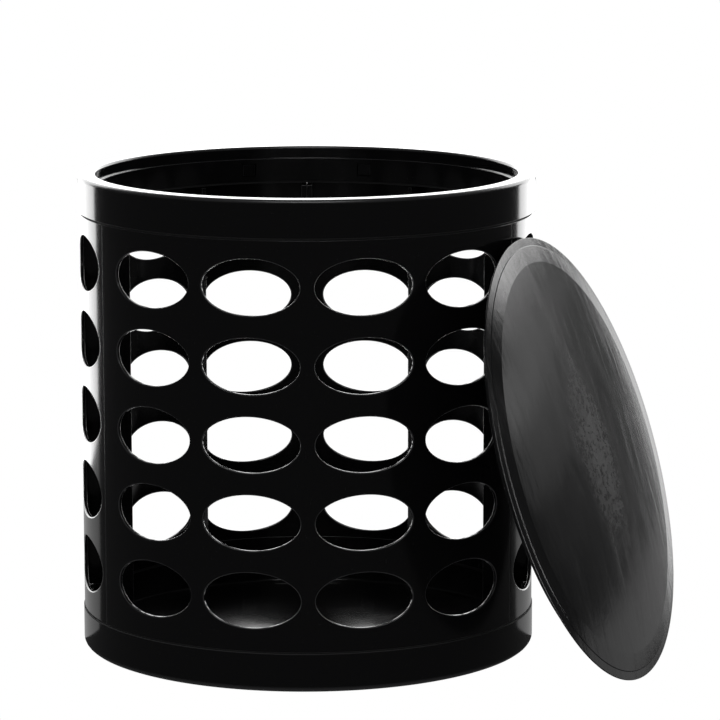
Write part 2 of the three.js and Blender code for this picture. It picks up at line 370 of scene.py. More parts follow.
def turn_outline(skin, outline, azimuths, windows=()):
    """Turns an open outline about +Z, leaving out the faces where a window is cut through."""
    rows = []
    on_axis = {}
    for azimuth in azimuths:
        row = []
        for index, (radius, height, outward, upward, edge_wear_and_highlight) in enumerate(outline):
            if radius < TINY:
                if index not in on_axis:
                    on_axis[index] = skin.point((0, 0, height), (0, 0, upward), edge_wear_and_highlight)
                row.append(on_axis[index])
            else:
                place = polar(azimuth, radius, height)
                row.append(skin.point(place, polar(azimuth, outward, upward), edge_wear_and_highlight))
        rows.append(row)
    for step, row in enumerate(rows):
        following = rows[(step + 1) % len(rows)]
        start = azimuths[step]
        middle = start + turn_to(azimuths[(step + 1) % len(rows)], start) / 2
        for index in range(len(outline) - 1):
            low = outline[index]
            high = outline[index + 1]
            if not in_window(windows, middle, low, high):
                skin.quad(row[index], following[index], following[index + 1], row[index + 1])
    for window in windows:
        line_window(skin, window, azimuths)


def in_window(windows, azimuth, low, high):
    """Whether the face between two outline points, at an azimuth, falls in one of the windows."""
    for centre, half_angle, bottom, top, inner, outer in windows:
        turned = abs(turn_to(azimuth, centre))
        upright = abs(low[0] - high[0]) < TINY and inner - TINY < low[0] < outer + TINY
        middle = (low[1] + high[1]) / 2
        if turned < half_angle and upright and bottom < middle < top:
            return True
    return False


def line_window(skin, window, azimuths):
    """The four faces of the wall's thickness round a window."""
    centre, half_angle, bottom, top, inner, outer = window
    across = []
    for azimuth in azimuths:
        turned = turn_to(azimuth, centre)
        if abs(turned) < half_angle + TINY:
            across.append((turned, azimuth))
    across = [azimuth for _, azimuth in sorted(across)]

    def face(places, normal, inside_first):
        """A face from the wall's inside to its outside, along some azimuths and heights."""
        inside = [skin.point(polar(azimuth, inner, height), normal) for azimuth, height in places]
        outside = [skin.point(polar(azimuth, outer, height), normal) for azimuth, height in places]
        if inside_first:
            skin.strip(inside, outside)
        else:
            skin.strip(outside, inside)

    for height, sense in ((bottom, 1), (top, -1)):
        face([(azimuth, height) for azimuth in across], (0, 0, sense), sense > 0)
    for azimuth, sense in ((across[0], 1), (across[-1], -1)):
        face([(azimuth, height) for height in (bottom, top)], tangent(azimuth) * sense, sense < 0)


def extrude_outline(skin, outline, matrix, length):
    """A bar with that closed outline, along the matrix's Z, with rounded edges at both ends."""
    turn = matrix.to_3x3()
    rows = []
    for end in (0, 1):
        for step in range(BEVEL_STEPS + 1):
            angle = math.pi / 2 * (step if end == 0 else BEVEL_STEPS - step) / BEVEL_STEPS
            inset = SOFT_CORNER * (1 - math.sin(angle))
            rise = SOFT_CORNER * (1 - math.cos(angle))
            height = rise if end == 0 else length - rise
            sense = -1 if end == 0 else 1
            edge_wear_and_highlight = math.sin(2 * angle)
            row = []
            for x, y, nx, ny, edge in outline:
                place = matrix @ Vector((x - nx * inset, y - ny * inset, height))
                side = math.sin(angle)
                normal = turn @ Vector((nx * side, ny * side, sense * math.cos(angle)))
                row.append(skin.point(place, normal, max(edge, edge_wear_and_highlight)))
            rows.append(row)
    skin.bar(rows)


def radial_matrix(azimuth, radius, height):
    """Axes of a bar that grows along +Z: its X runs round the drum, and its Y towards the axis."""
    axes = (tangent(azimuth), polar(azimuth, -1, 0), (0, 0, 1))
    matrix = Matrix(axes).transposed().to_4x4()
    matrix.translation = Vector(polar(azimuth, radius, height))
    return matrix


# ---- Base tray and collar ------------------------------------

def latch_windows(middle_height, inner, outer):
    half_height = LATCH_HEIGHT / 2 + LATCH_CLEARANCE
    half_angle = (LATCH_WIDTH / 2 + LATCH_CLEARANCE) / outer
    bottom = middle_height - half_height
    top = middle_height + half_height
    windows = []
    for panel in PANELS:
        for centre in panel.latches:
            windows.append((centre, half_angle, bottom, top, inner, outer))
    return windows


def turn_with_windows(outline, windows):
    """A piece turned about +Z, with an azimuth at each side of every window."""
    sides = []
    for centre, half_angle, *_ in windows:
        sides += [centre - half_angle, centre + half_angle]
    skin = Skin()
    turn_outline(skin, outline, evenly_round(ROUND_STEPS, sides), windows)
    return skin


def make_base_tray():
    slot_bottom = PANEL_BOTTOM - BOTTOM_TONGUE_LENGTH - FIT_GAP
    windows = latch_windows(BOTTOM_LATCH_HEIGHT, BASE_LIP_INNER, SLOT_INNER)
    window_bottom, window_top = windows[0][2], windows[0][3]
    outline = open_outline([
        (0, 0, 0),
        (CENTRE_PAD_RADIUS, 0, SOFT_CORNER),
        (CENTRE_PAD_RADIUS, FOOT_RECESS, SOFT_CORNER),
        (FOOT_RING_RADIUS, FOOT_RECESS, SOFT_CORNER),
        (FOOT_RING_RADIUS, 0, SOFT_CORNER),
        (BASE_RADIUS, 0, BASE_CORNER_RADIUS),
        (BASE_RADIUS, BASE_SEAM_HEIGHT, SEAM_CORNER),
        (SLOT_OUTER, BASE_SEAM_HEIGHT, SOFT_CORNER),
        (SLOT_OUTER, slot_bottom, SOFT_CORNER),
        (SLOT_INNER, slot_bottom, SOFT_CORNER),
        (SLOT_INNER, window_bottom, 0),
        (SLOT_INNER, window_top, 0),
        (SLOT_INNER, BASE_LIP_HEIGHT, SOFT_CORNER),
        (BASE_LIP_INNER, BASE_LIP_HEIGHT, SOFT_CORNER),
        (BASE_LIP_INNER, window_top, 0),
        (BASE_LIP_INNER, window_bottom, 0),
        (BASE_LIP_INNER, FLOOR_THICKNESS, FLOOR_FILLET),
        (0, FLOOR_THICKNESS, 0),
    ])
    return turn_with_windows(outline, windows)


def make_collar():
    ledge = TOTAL_HEIGHT - LEDGE_DEPTH
    channel_top = TOTAL_HEIGHT - RIM_THICKNESS
    lower_skirt = BORE_RADIUS + MOULDED_WALL
    upper_skirt = RIM_INNER_RADIUS + MOULDED_WALL
    groove_radius = COLLAR_RADIUS - COLLAR_GROOVE_DEPTH
    groove_top = COLLAR_SEAM_HEIGHT + COLLAR_GROOVE_HEIGHT
    windows = latch_windows(TOP_LATCH_HEIGHT, BORE_RADIUS, lower_skirt)
    window_bottom, window_top = windows[0][2], windows[0][3]
    outline = closed_outline([
        (SLOT_OUTER, COLLAR_SEAM_HEIGHT, SOFT_CORNER),
        (groove_radius, COLLAR_SEAM_HEIGHT, SHARP_CORNER),
        (groove_radius, groove_top, SHARP_CORNER),
        (COLLAR_RADIUS, groove_top, SHARP_CORNER),
        (COLLAR_RADIUS, TOTAL_HEIGHT, RIM_OUTER_FILLET),
        (RIM_INNER_RADIUS, TOTAL_HEIGHT, RIM_INNER_FILLET),
        (RIM_INNER_RADIUS, ledge, SOFT_CORNER),
        (BORE_RADIUS, ledge, SOFT_CORNER),
        (BORE_RADIUS, window_top, 0),
        (BORE_RADIUS, window_bottom, 0),
        (BORE_RADIUS, COLLAR_SEAM_HEIGHT, SOFT_CORNER),
        (lower_skirt, COLLAR_SEAM_HEIGHT, SOFT_CORNER),
        (lower_skirt, window_bottom, 0),
        (lower_skirt, window_top, 0),
        (lower_skirt, ledge - MOULDED_WALL, SOFT_CORNER),
        (upper_skirt, ledge, SOFT_CORNER),
        (upper_skirt, channel_top, SOFT_CORNER),
        (SLOT_OUTER, channel_top, SOFT_CORNER),
    ])
    outline.append(outline[0])
    return turn_with_windows(outline, windows)


# ---- Wall panels ---------------------------------------------

def hole_point(step, back):
    """A point a little way back from a hole's edge, and the direction there into the hole."""
    angle = math.pi / 2 * step / HOLE_QUARTER
    x = HOLE_WIDTH / 2 * math.cos(angle)
    y = HOLE_HEIGHT / 2 * math.sin(angle)
    nx = -math.cos(angle) * HOLE_HEIGHT
    ny = -math.sin(angle) * HOLE_WIDTH
    length = math.hypot(nx, ny)
    nx /= length
    ny /= length
    return x - nx * back, y - ny * back, nx, ny


def cell_point(step, left, right):
    """The point on the edge of a hole's cell that faces a point of the hole: angle and height.
    The cell reaches the two given angles to the left and right of the hole's middle."""
    quarter, place = divmod(step, HOLE_QUARTER)
    if quarter % 2 == 1:
        place = HOLE_QUARTER - place
    if place <= HOLE_CORNER:
        share, height = 1.0, CELL_HALF_HEIGHT * place / HOLE_CORNER
    else:
        share, height = (HOLE_QUARTER - place) / (HOLE_QUARTER - HOLE_CORNER), CELL_HALF_HEIGHT
    angle = right * share if quarter in (0, 3) else -left * share
    upper = 1 if quarter in (0, 1) else -1
    return angle, upper * height


def hole_section():
    """How far each loop round a hole stands back from its edge, and how deep it lies in the wall,
    from the outer face to the inner one, with the normal's two shares and the edge's share of wear and
    painted highlight."""
    section = []
    for step in range(ROUNDING_STEPS + 1):
        angle = math.pi / 2 * step / ROUNDING_STEPS
        back = HOLE_EDGE * (1 - math.sin(angle))
        deep = HOLE_EDGE * (1 - math.cos(angle))
        section.append((back, deep, math.cos(angle), math.sin(angle), math.sin(2 * angle)))
    mirrored = []
    for back, deep, outward, into_hole, edge_wear_and_highlight in reversed(section):
        mirrored.append((back, WALL_THICKNESS - deep, -outward, into_hole, edge_wear_and_highlight))
    return section + mirrored


def add_hole(skin, cell, height, grid):
    """One cell of the wall with its hole: both faces, and the hole's own wall."""
    azimuth = cell[0]
    around = tangent(azimuth)
    loops = []
    for back, deep, outward, into_hole, edge_wear_and_highlight in hole_section():
        radius = WALL_RADIUS - deep
        loop = []
        for step in range(HOLE_POINTS):
            x, y, nx, ny = hole_point(step, back)
            local = math.asin(x / radius)
            place = polar(azimuth + local, radius, height + y)
            radial = Vector(polar(azimuth + local, 1, 0))
            facing = around * nx + Vector((0, 0, ny))
            loop.append(skin.point(place, radial * outward + facing * into_hole, edge_wear_and_highlight))
        loops.append(loop)
    outer_loops = face_loops(skin, cell, height, WALL_RADIUS, 1, grid)
    inner_loops = face_loops(skin, cell, height, WALL_INNER, -1, grid)
    chain = outer_loops + loops + list(reversed(inner_loops))
    for outer, inner in zip(chain, chain[1:]):
        skin.ring(outer, inner)


def face_loops(skin, cell, height, radius, sense, grid):
    """The loops on one face of the wall, from the edge of the cell to just short of the hole."""
    azimuth, left, right = cell
    loops = []
    for loop in range(HOLE_LOOPS):
        share = (loop / HOLE_LOOPS) ** HOLE_LOOP_POWER
        points = []
        for step in range(HOLE_POINTS):
            x, y = hole_point(step, HOLE_EDGE)[:2]
            near = math.asin(x / radius)
            far, far_height = cell_point(step, left, right)
            local = far + (near - far) * share
            level = height + far_height + (y - far_height) * share
            if loop == 0:
                points.append(grid(azimuth + local, radius, level, sense))
            else:
                place = polar(azimuth + local, radius, level)
                normal = polar(azimuth + local, sense, 0)
                points.append(skin.point(place, normal))
        loops.append(points)
    return loops


def side_stations(cell_edge, panel_edge):
    """Azimuths from the outermost cell to the panel's upright edge, with how far the edge's
    rounding lowers the outer face there, and the share of the normal that faces sideways."""
    sense = 1 if panel_edge > cell_edge else -1
    edge_start = panel_edge - sense * PANEL_EDGE / WALL_RADIUS
    stations = []
    for step in range(1, PLAIN_STEPS + 1):
        stations.append((cell_edge + (edge_start - cell_edge) * step / PLAIN_STEPS, 0.0, 0.0))
    for step in range(1, ROUNDING_STEPS + 1):
        angle = math.pi / 2 * step / ROUNDING_STEPS
        azimuth = edge_start + sense * PANEL_EDGE * math.sin(angle) / WALL_RADIUS
        stations.append((azimuth, PANEL_EDGE * (1 - math.cos(angle)), sense * math.sin(angle)))
    return stations


def panel_edges(panel):
    """Azimuths of the panel's two upright edges, half a gap short of the seams."""
    half_gap = FIT_GAP / 2 / WALL_RADIUS
    return panel.start + half_gap, panel.end - half_gap


def panel_azimuths(panel):
    """Every azimuth station of a panel in growing order, and how many lie beyond its cells at
    each side."""
    stations = []
    for index, (centre, left, right) in enumerate(panel.cells):
        columns = set()
        for step in range(HOLE_POINTS):
            local, height = cell_point(step, left, right)
            if abs(height) > CELL_HALF_HEIGHT - TINY:
                columns.add(round(local, 9))
        for local in sorted(columns):
            if index == 0 or local > -left + TINY:
                stations.append((centre + local, 0.0, 0.0))
    first, last = panel_edges(panel)
    before = side_stations(stations[0][0], first)
    after = side_stations(stations[-1][0], last)
    return list(reversed(before)) + stations + after, len(after)


def edge_outlines():
    """The wall's top edge from the outer face over the tongue to the inner face, and its bottom
    edge from the inner face back to the outer one."""
    tongue_top = PANEL_TOP + TOP_TONGUE_LENGTH
    tongue_bottom = PANEL_BOTTOM - BOTTOM_TONGUE_LENGTH
    top = open_outline([
        (WALL_RADIUS, CELLS_TOP, 0),
        (WALL_RADIUS, PANEL_TOP, SEAM_CORNER),
        (TONGUE_OUTER, PANEL_TOP, SOFT_CORNER),
        (TONGUE_OUTER, tongue_top, SOFT_CORNER),
        (WALL_INNER, tongue_top, SOFT_CORNER),
        (WALL_INNER, CELLS_TOP, 0),
    ])
    bottom = open_outline([
        (WALL_INNER, CELLS_BOTTOM, 0),
        (WALL_INNER, tongue_bottom, SOFT_CORNER),
        (TONGUE_OUTER, tongue_bottom, SOFT_CORNER),
        (TONGUE_OUTER, PANEL_BOTTOM, SOFT_CORNER),
        (WALL_RADIUS, PANEL_BOTTOM, SEAM_CORNER),
        (WALL_RADIUS, CELLS_BOTTOM, 0),
    ])
    return top, bottom


def make_wall_panel(panel):
    skin = Skin()
    known = {}

    def grid(azimuth, radius, height, sense):
        """A point on the plain part of a face, shared by the cells and strips that meet there."""
        key = (round(azimuth, 6), round(height, 6), sense)
        if key not in known:
            place = polar(azimuth, radius, height)
            known[key] = skin.point(place, polar(azimuth, sense, 0))
        return known[key]

    for cell in panel.cells:
        for row in range(HOLE_ROWS):
            add_hole(skin, cell, BOTTOM_ROW_HEIGHT + row * ROW_PITCH, grid)

    def edge_point(station, place):
        """A point of the wall's section, lowered near the panel's upright edges."""
        azimuth, drop, sideways = station
        radius, height, outward, upward, edge_wear_and_highlight = place
        share = max(0.0, (radius - TONGUE_OUTER) / (WALL_RADIUS - TONGUE_OUTER))
        if drop == 0 and abs(upward) < TINY and (outward < 0 or share > 1 - TINY):
            return grid(azimuth, radius, height, 1 if outward > 0 else -1)
        normal = Vector(polar(azimuth, outward, upward))
        if share > NEAR_FACE:
            normal = normal * math.sqrt(1 - sideways * sideways) + tangent(azimuth) * sideways
            edge_wear_and_highlight = max(edge_wear_and_highlight, math.sin(math.pi * abs(sideways)))
        return skin.point(polar(azimuth, radius - drop * share, height), normal, edge_wear_and_highlight)

    stations, sides = panel_azimuths(panel)
    top, bottom = edge_outlines()
    steps = range(1, 2 * HOLE_CORNER * HOLE_ROWS)
    heights = [CELLS_BOTTOM + CELL_HALF_HEIGHT * step / HOLE_CORNER for step in steps]
    columns = []
    for station in stations:
        upper = [edge_point(station, place) for place in top]
        lower = [edge_point(station, place) for place in bottom]
        columns.append((upper, lower))
    for before, after in zip(columns, columns[1:]):
        skin.strip(before[0], after[0])
        skin.strip(before[1], after[1])
    for start in (0, len(stations) - 1 - sides):
        side_columns = []
        for index in range(start, start + sides + 1):
            station = stations[index]
            upper, lower = columns[index]
            outer = [edge_point(station, (WALL_RADIUS, height, 1, 0, 0)) for height in heights]
            inner = [edge_point(station, (WALL_INNER, height, -1, 0, 0)) for height in heights[::-1]]
            outer = [lower[-1], *outer, upper[0]]
            inner = [upper[-1], *inner, lower[0]]
            side_columns.append((outer, inner, upper, lower))
        for before, after in zip(side_columns, side_columns[1:]):
            skin.strip(before[0], after[0])
            skin.strip(before[1], after[1])
        close_side(skin, side_columns[0 if start == 0 else -1], start == 0, panel)
    add_panel_ribs(skin, panel)
    return skin


def close_side(skin, column, left, panel):
    """The flat end of the wall, where it meets the next panel."""
    outer, inner, upper, lower = column
    azimuth = panel_edges(panel)[0 if left else 1]
    sense = -1 if left else 1
    normal = tangent(azimuth) * sense
    ring = outer[:-1] + upper[:-1] + inner[:-1] + lower[:-1]
    face = [skin.point(skin.places[index], normal) for index in ring]
    skin.faces.append(face if not left else list(reversed(face)))


def add_panel_ribs(skin, panel):
    """The upright flanges at the seams, the upright ribs between columns, and the latch nubs."""
    length = FLANGE_TOP - FLANGE_BOTTOM
    for seam, side in ((panel.start, 1), (panel.end, -1)):
        near = -side * FLANGE_PRESS
        far = side * (FIT_GAP / 2 + FLANGE_THICKNESS)
        depth = WALL_INNER - FLANGE_INNER_RADIUS
        flange = block_outline(min(near, far), max(near, far), -RIB_ROOT, depth)
        matrix = radial_matrix(seam, WALL_INNER, FLANGE_BOTTOM)
        extrude_outline(skin, flange, matrix, length)

    half = PANEL_RIB_WIDTH / 2
    rib = block_outline(-half, half, -RIB_ROOT, WALL_INNER - RIB_INNER_RADIUS)
    for azimuth in panel.ribs:
        matrix = radial_matrix(azimuth, WALL_INNER, FLANGE_BOTTOM)
        extrude_outline(skin, rib, matrix, length)

    half = LATCH_WIDTH / 2
    upper_reach = WALL_INNER - BORE_RADIUS - LATCH_RECESS
    lower_reach = WALL_INNER - BASE_LIP_INNER - LATCH_RECESS
    for azimuth in panel.latches:
        for middle, reach in ((TOP_LATCH_HEIGHT, upper_reach), (BOTTOM_LATCH_HEIGHT, lower_reach)):
            nub = block_outline(-half, half, -RIB_ROOT, reach)
            matrix = radial_matrix(azimuth, WALL_INNER, middle - LATCH_HEIGHT / 2)
            extrude_outline(skin, nub, matrix, LATCH_HEIGHT)


# ---- Lid -----------------------------------------------------
# In the lid's own frame Z is its axis, and z = 0 is the underside of its edge.

def dome_height(radius):
    return LID_CROWN - (DOME_SPHERE - math.sqrt(DOME_SPHERE ** 2 - radius ** 2))


def dome_outline(lowered, sense):
    """Points from the axis outwards on the dome's outer face, or on the face below it."""
    points = []
    for radius in DOME_RADII:
        lean = radius / DOME_SPHERE
        level = math.sqrt(1 - lean * lean)
        points.append((radius, dome_height(radius) - lowered, sense * lean, sense * level, 0.0))
    return points


def border_height(radius):
    """Height of the straight border's outer face at a radius."""
    share = (radius - CREASE_RADIUS) / (STEP_RADIUS - CREASE_RADIUS)
    return CREASE_HEIGHT + (STEP_TOP - CREASE_HEIGHT) * share


def make_lid():
    skin = Skin()
    inside = LOCATOR_RADIUS - LOCATOR_THICKNESS
    rim = open_outline([
        (NEAR_CREASE, dome_height(NEAR_CREASE) - LID_THICKNESS, 0),
        (CREASE_RADIUS, CREASE_HEIGHT - LID_THICKNESS, CREASE_ROUNDING),
        (inside, border_height(inside) - LID_THICKNESS, LOCATOR_FILLET),
        (inside, -LOCATOR_DEPTH, SOFT_CORNER),
        (LOCATOR_RADIUS, -LOCATOR_DEPTH, SOFT_CORNER),
        (LOCATOR_RADIUS, 0, SOFT_CORNER),
        (LID_RADIUS, 0, LID_EDGE_ROUNDING),
        (LID_RADIUS, LID_EDGE_HEIGHT, BRIM_ROUNDING),
        (STEP_RADIUS + STEP_WIDTH, STEP_BOTTOM, STEP_FOOT_ROUNDING),
        (STEP_RADIUS, STEP_TOP, STEP_TOP_ROUNDING),
        (CREASE_RADIUS, CREASE_HEIGHT, CREASE_ROUNDING),
        (NEAR_CREASE, dome_height(NEAR_CREASE), 0),
    ])
    outline = [*dome_outline(LID_THICKNESS, -1), *rim, *reversed(dome_outline(0, 1))]
    turn_outline(skin, outline, evenly_round(LID_STEPS))
    for radius in (HUB_RADIUS, RING_RIB_RADIUS):
        add_ring_rib(skin, radius)
    for rib in range(RIB_COUNT):
        add_straight_rib(skin, 2 * math.pi * rib / RIB_COUNT, HUB_RADIUS, inside + RIB_ROOT)
    return skin


def add_ring_rib(skin, radius):
    half = RIB_THICKNESS / 2
    top = dome_height(radius) - LID_THICKNESS / 2
    outline = block_outline(radius - half, radius + half, -RIB_DEPTH, top)
    outline.append(outline[0])
    turn_outline(skin, outline, evenly_round(ROUND_STEPS // 2))


def add_straight_rib(skin, azimuth, start, end):
    """A rib from the hub to the locator ring, whose top edge follows the middle of the dome."""
    half = RIB_THICKNESS / 2
    along = Vector(polar(azimuth, 1, 0))
    across = tangent(azimuth)
    upward = Vector((0, 0, 1))
    rows = []
    for step in range(RIB_STEPS + 1):
        radius = start + (end - start) * step / RIB_STEPS
        face = dome_height(radius) if radius < CREASE_RADIUS else border_height(radius)
        top = face - LID_THICKNESS / 2
        row = []
        for x, y, nx, ny, edge_wear_and_highlight in block_outline(-half, half, -RIB_DEPTH, top):
            place = along * radius + across * x + upward * y
            row.append(skin.point(place, across * nx + upward * ny, edge_wear_and_highlight))
        rows.append(row)
    skin.bar(rows)


def lid_matrix():
    """The lid on the floor on its edge, facing away from the drum and leaning back on it."""
    level = math.cos(LID_LEAN)
    outward = Vector(polar(LID_FACING, level, math.sin(LID_LEAN)))
    upward = (Vector((0, 0, 1)) - outward * outward.z).normalized()
    across = upward.cross(outward)
    matrix = Matrix((across, upward, outward)).transposed().to_4x4()
    foot = Vector(polar(LID_FOOT_AZIMUTH, LID_FOOT_DISTANCE, 0))
    rise = LID_RADIUS - LID_EDGE_ROUNDING + LID_EDGE_ROUNDING / level
    matrix.translation = foot + upward * rise - outward * LID_EDGE_ROUNDING
    return matrix


# ---- Materials -----------------------------------------------

PLASTIC_IOR = 1.49
DRUM_BLACK = (0.0035, 0.0035, 0.0038)
# Paler grey for dust specks and for rounded edges, where it is partly wear and partly a painted
# highlight.
DRUM_MARKS_AND_HIGHLIGHT = (0.045, 0.045, 0.047)
LID_BLACK = (0.004, 0.004, 0.0044)
# Paler grey for the lid's haze and rubbing, and for its rounded edges, where it is partly wear and
# partly a painted highlight.
LID_MARKS_AND_HIGHLIGHT = (0.06, 0.06, 0.063)
FINE_RELIEF = 0.00002  # depth of the ripple, the grain and the hairlines
STREAK_RELIEF = 0.0004


class Nodes:
    """A few words for building the nodes of a material or of the world."""

    def __init__(self, owner, empty=False):
        owner.use_nodes = True
        self.tree = owner.node_tree
        if empty:
            self.tree.nodes.clear()

    def fill(self, node, inputs):
        """Sets a node's inputs, each to a value or to the output of another node."""
        for name, value in inputs.items():
            if isinstance(value, bpy.types.NodeSocket):
                self.tree.links.new(value, node.inputs[name])
            else:
                node.inputs[name].default_value = value

    def add(self, kind, inputs, output, **settings):
        """Adds a node and gives one of its outputs."""
        node = self.tree.nodes.new(kind)
        for key, value in settings.items():
            setattr(node, key, value)
        self.fill(node, inputs)
        return node.outputs[output]

    def stretched(self, scale):
        """The piece's own coordinates, stretched by a scale along each axis."""
        place = self.add("ShaderNodeAttribute", {}, "Vector", attribute_name="place")
        return self.add("ShaderNodeMapping", {"Vector": place, "Scale": scale}, "Vector")

    def edge(self):
        """How much a place belongs to a rounded edge, from 0 to 1."""
        return self.add("ShaderNodeAttribute", {}, "Fac", attribute_name="edge")

    def length(self, scale):
        """The distance from the piece's origin, with its coordinates stretched by a scale."""
        return self.add("ShaderNodeVectorMath", {0: self.stretched(scale)}, "Value", operation="LENGTH")

    def noise(self, vector, scale, detail, roughness=0.5, distortion=0.0):
        inputs = {"Vector": vector, "Scale": scale, "Detail": detail}
        inputs |= {"Roughness": roughness, "Distortion": distortion}
        return self.add("ShaderNodeTexNoise", inputs, "Fac")

    def span(self, value, low, high, to_low, to_high):
        """A value from one range to another, clamped."""
        inputs = {"Value": value, "From Min": low, "From Max": high}
        inputs |= {"To Min": to_low, "To Max": to_high}
        return self.add("ShaderNodeMapRange", inputs, "Result")

    def math(self, operation, first, second):
        return self.add("ShaderNodeMath", {0: first, 1: second}, "Value", operation=operation)

    def blend(self, share, first, second):
        inputs = {"Factor": share, "A": (*first, 1), "B": (*second, 1)}
        return self.add("ShaderNodeMix", inputs, "Result", data_type="RGBA")

    def bump(self, height, strength, distance, normal=None):
        inputs = {"Strength": strength, "Distance": distance, "Height": height}
        if normal is not None:
            inputs["Normal"] = normal
        return self.add("ShaderNodeBump", inputs, "Normal")

    def plastic(self, colour, rough, normal):
        """Gives a material's own shader its colour, roughness and normal."""
        inputs = {"Base Color": colour, "Roughness": rough, "Normal": normal, "IOR": PLASTIC_IOR}
        self.fill(self.tree.nodes["Principled BSDF"], inputs)


def drum_plastic():
    """Glossy moulded plastic: a faint ripple, hairline scuffs, specks, grey edges that are partly worn
    and partly a painted highlight, and dull grime in the seams."""
    material = bpy.data.materials.new("glossy_drum_plastic")
    nodes = Nodes(material)
    plain = nodes.stretched((1, 1, 1))
    ripple = nodes.noise(plain, 260, 2)
    smear = nodes.noise(nodes.stretched((1, 1, 0.35)), 16, 5, 0.6, 0.6)
    hair = nodes.noise(nodes.stretched((1, 1, 0.06)), 900, 2, 0.6)
    dust = nodes.noise(plain, 1400, 1)
    edge = nodes.edge()
    specks = nodes.span(dust, 0.74, 0.80, 0, 1)
    scuffs = nodes.span(hair, 0.66, 0.74, 0, 1)
    scuffs = nodes.math("MULTIPLY", scuffs, nodes.span(smear, 0.5, 0.65, 0, 1))
    # Rounded edges are painted paler, partly as wear and partly as a painted highlight. Specks are
    # dust.
    marks_and_highlight = nodes.math("MAXIMUM", nodes.math("MULTIPLY", edge, 0.6), nodes.math("MULTIPLY", specks, 0.5))
    colour = nodes.blend(marks_and_highlight, DRUM_BLACK, DRUM_MARKS_AND_HIGHLIGHT)
    rough = nodes.span(smear, 0.3, 0.75, 0.10, 0.17)
    rough = nodes.math("ADD", rough, nodes.math("MULTIPLY", scuffs, 0.18))
    rough = nodes.math("ADD", rough, nodes.math("MULTIPLY", edge, 0.16))
    height = nodes.length((0, 0, 1))
    for seam in (COLLAR_SEAM_HEIGHT + COLLAR_GROOVE_HEIGHT / 2, BASE_SEAM_HEIGHT):
        above = nodes.math("SUBTRACT", height, seam)
        apart = nodes.math("MULTIPLY", above, above)
        grime = nodes.span(apart, SEAM_GRIME ** 2, 2 * SEAM_GRIME ** 2, 0.9, 0)
        rough = nodes.math("MAXIMUM", rough, grime)
    normal = nodes.bump(ripple, 0.25, FINE_RELIEF)
    nodes.plastic(colour, rough, nodes.bump(hair, 0.12, FINE_RELIEF, normal))
    return material


def lid_plastic():
    """The lid's plastic: glossy, with faint flow streaks down the dome and a hazy rubbed middle."""
    material = bpy.data.materials.new("glossy_lid_plastic")
    nodes = Nodes(material)
    plain = nodes.stretched((1, 1, 1))
    streaks = nodes.noise(nodes.stretched((1, 0.22, 1)), 90, 6, 0.62, 0.6)
    broad = nodes.noise(nodes.stretched((1, 0.45, 1)), 22, 5, 0.6, 0.8)
    grain = nodes.noise(plain, 900, 2)
    hair = nodes.noise(nodes.stretched((1, 0.06, 1)), 700, 2, 0.6)
    mottle = nodes.noise(plain, 170, 6, 0.75, 0.4)
    edge = nodes.edge()
    radius = nodes.length((1, 0.55, 1))
    rubbed = nodes.span(radius, 0.014, 0.048, 1, 0)
    rubbed = nodes.math("MULTIPLY", rubbed, nodes.span(mottle, 0.36, 0.60, 0, 1))
    haze = nodes.span(streaks, 0.40, 0.70, 0, 1)
    haze = nodes.math("MULTIPLY", haze, nodes.span(radius, 0.05, 0.13, 0.8, 0.1))
    haze = nodes.math("MULTIPLY", haze, nodes.span(broad, 0.35, 0.62, 0.2, 1))
    haze = nodes.math("MAXIMUM", rubbed, haze)
    # Haze and rubbing are real scuffs. The paler rounded edges are partly wear and partly a painted
    # highlight.
    marks_and_highlight = nodes.math("MAXIMUM", nodes.math("MULTIPLY", haze, 0.15), nodes.math("MULTIPLY", edge, 0.35))
    colour = nodes.blend(marks_and_highlight, LID_BLACK, LID_MARKS_AND_HIGHLIGHT)
    rough = nodes.span(broad, 0.35, 0.7, 0.10, 0.14)
    rough = nodes.math("ADD", rough, nodes.math("MULTIPLY", haze, 0.2))
    rough = nodes.math("ADD", rough, nodes.math("MULTIPLY", rubbed, 0.32))
    normal = nodes.bump(streaks, 0.35, STREAK_RELIEF)
    normal = nodes.bump(grain, 0.2, FINE_RELIEF, normal)
    nodes.plastic(colour, rough, nodes.bump(hair, 0.12, FINE_RELIEF, normal))
    return material


# ---- Studio --------------------------------------------------

# Cards glow only in reflections. Their azimuths are measured from +Y, behind the drum, towards
# +X. Sizes are in metres. Names that don't say a measure are brightnesses, and the floor's
# white has a brightness of 1.

SQUARE = ((-1, -1), (1, -1), (1, 1), (-1, 1))
WHITE = 4  # the surroundings that the drum mirrors
FLOOR_REACH = 12
FLOOR_HEIGHT = -0.0003
WEDGE_HEIGHT = -0.001
WEDGE_REACH = 0.23  # half the width of the floor's cards, level with the drum's axis
WEDGE_NEAR = 0.55
WEDGE_FAR = 2.8
NEAR_FLOOR = 0.4  # the floor close behind the drum
BACKDROP_DISTANCE = 4.4
BACKDROP_HEIGHT = 3.0
DRUM_WING = math.radians(47)  # half the angle that the drum's white surroundings span
SIDE_SKY_BOTTOM = 1.0
SOFTBOX_ELEVATION = math.radians(50)
SOFTBOX_DISTANCE = 2.2
SOFTBOX_SIZE = (1.2, 0.5)
SOFTBOX = 6
GLOSSY_AMBIENT = 0.05
DIFFUSE_AMBIENT = 0.65

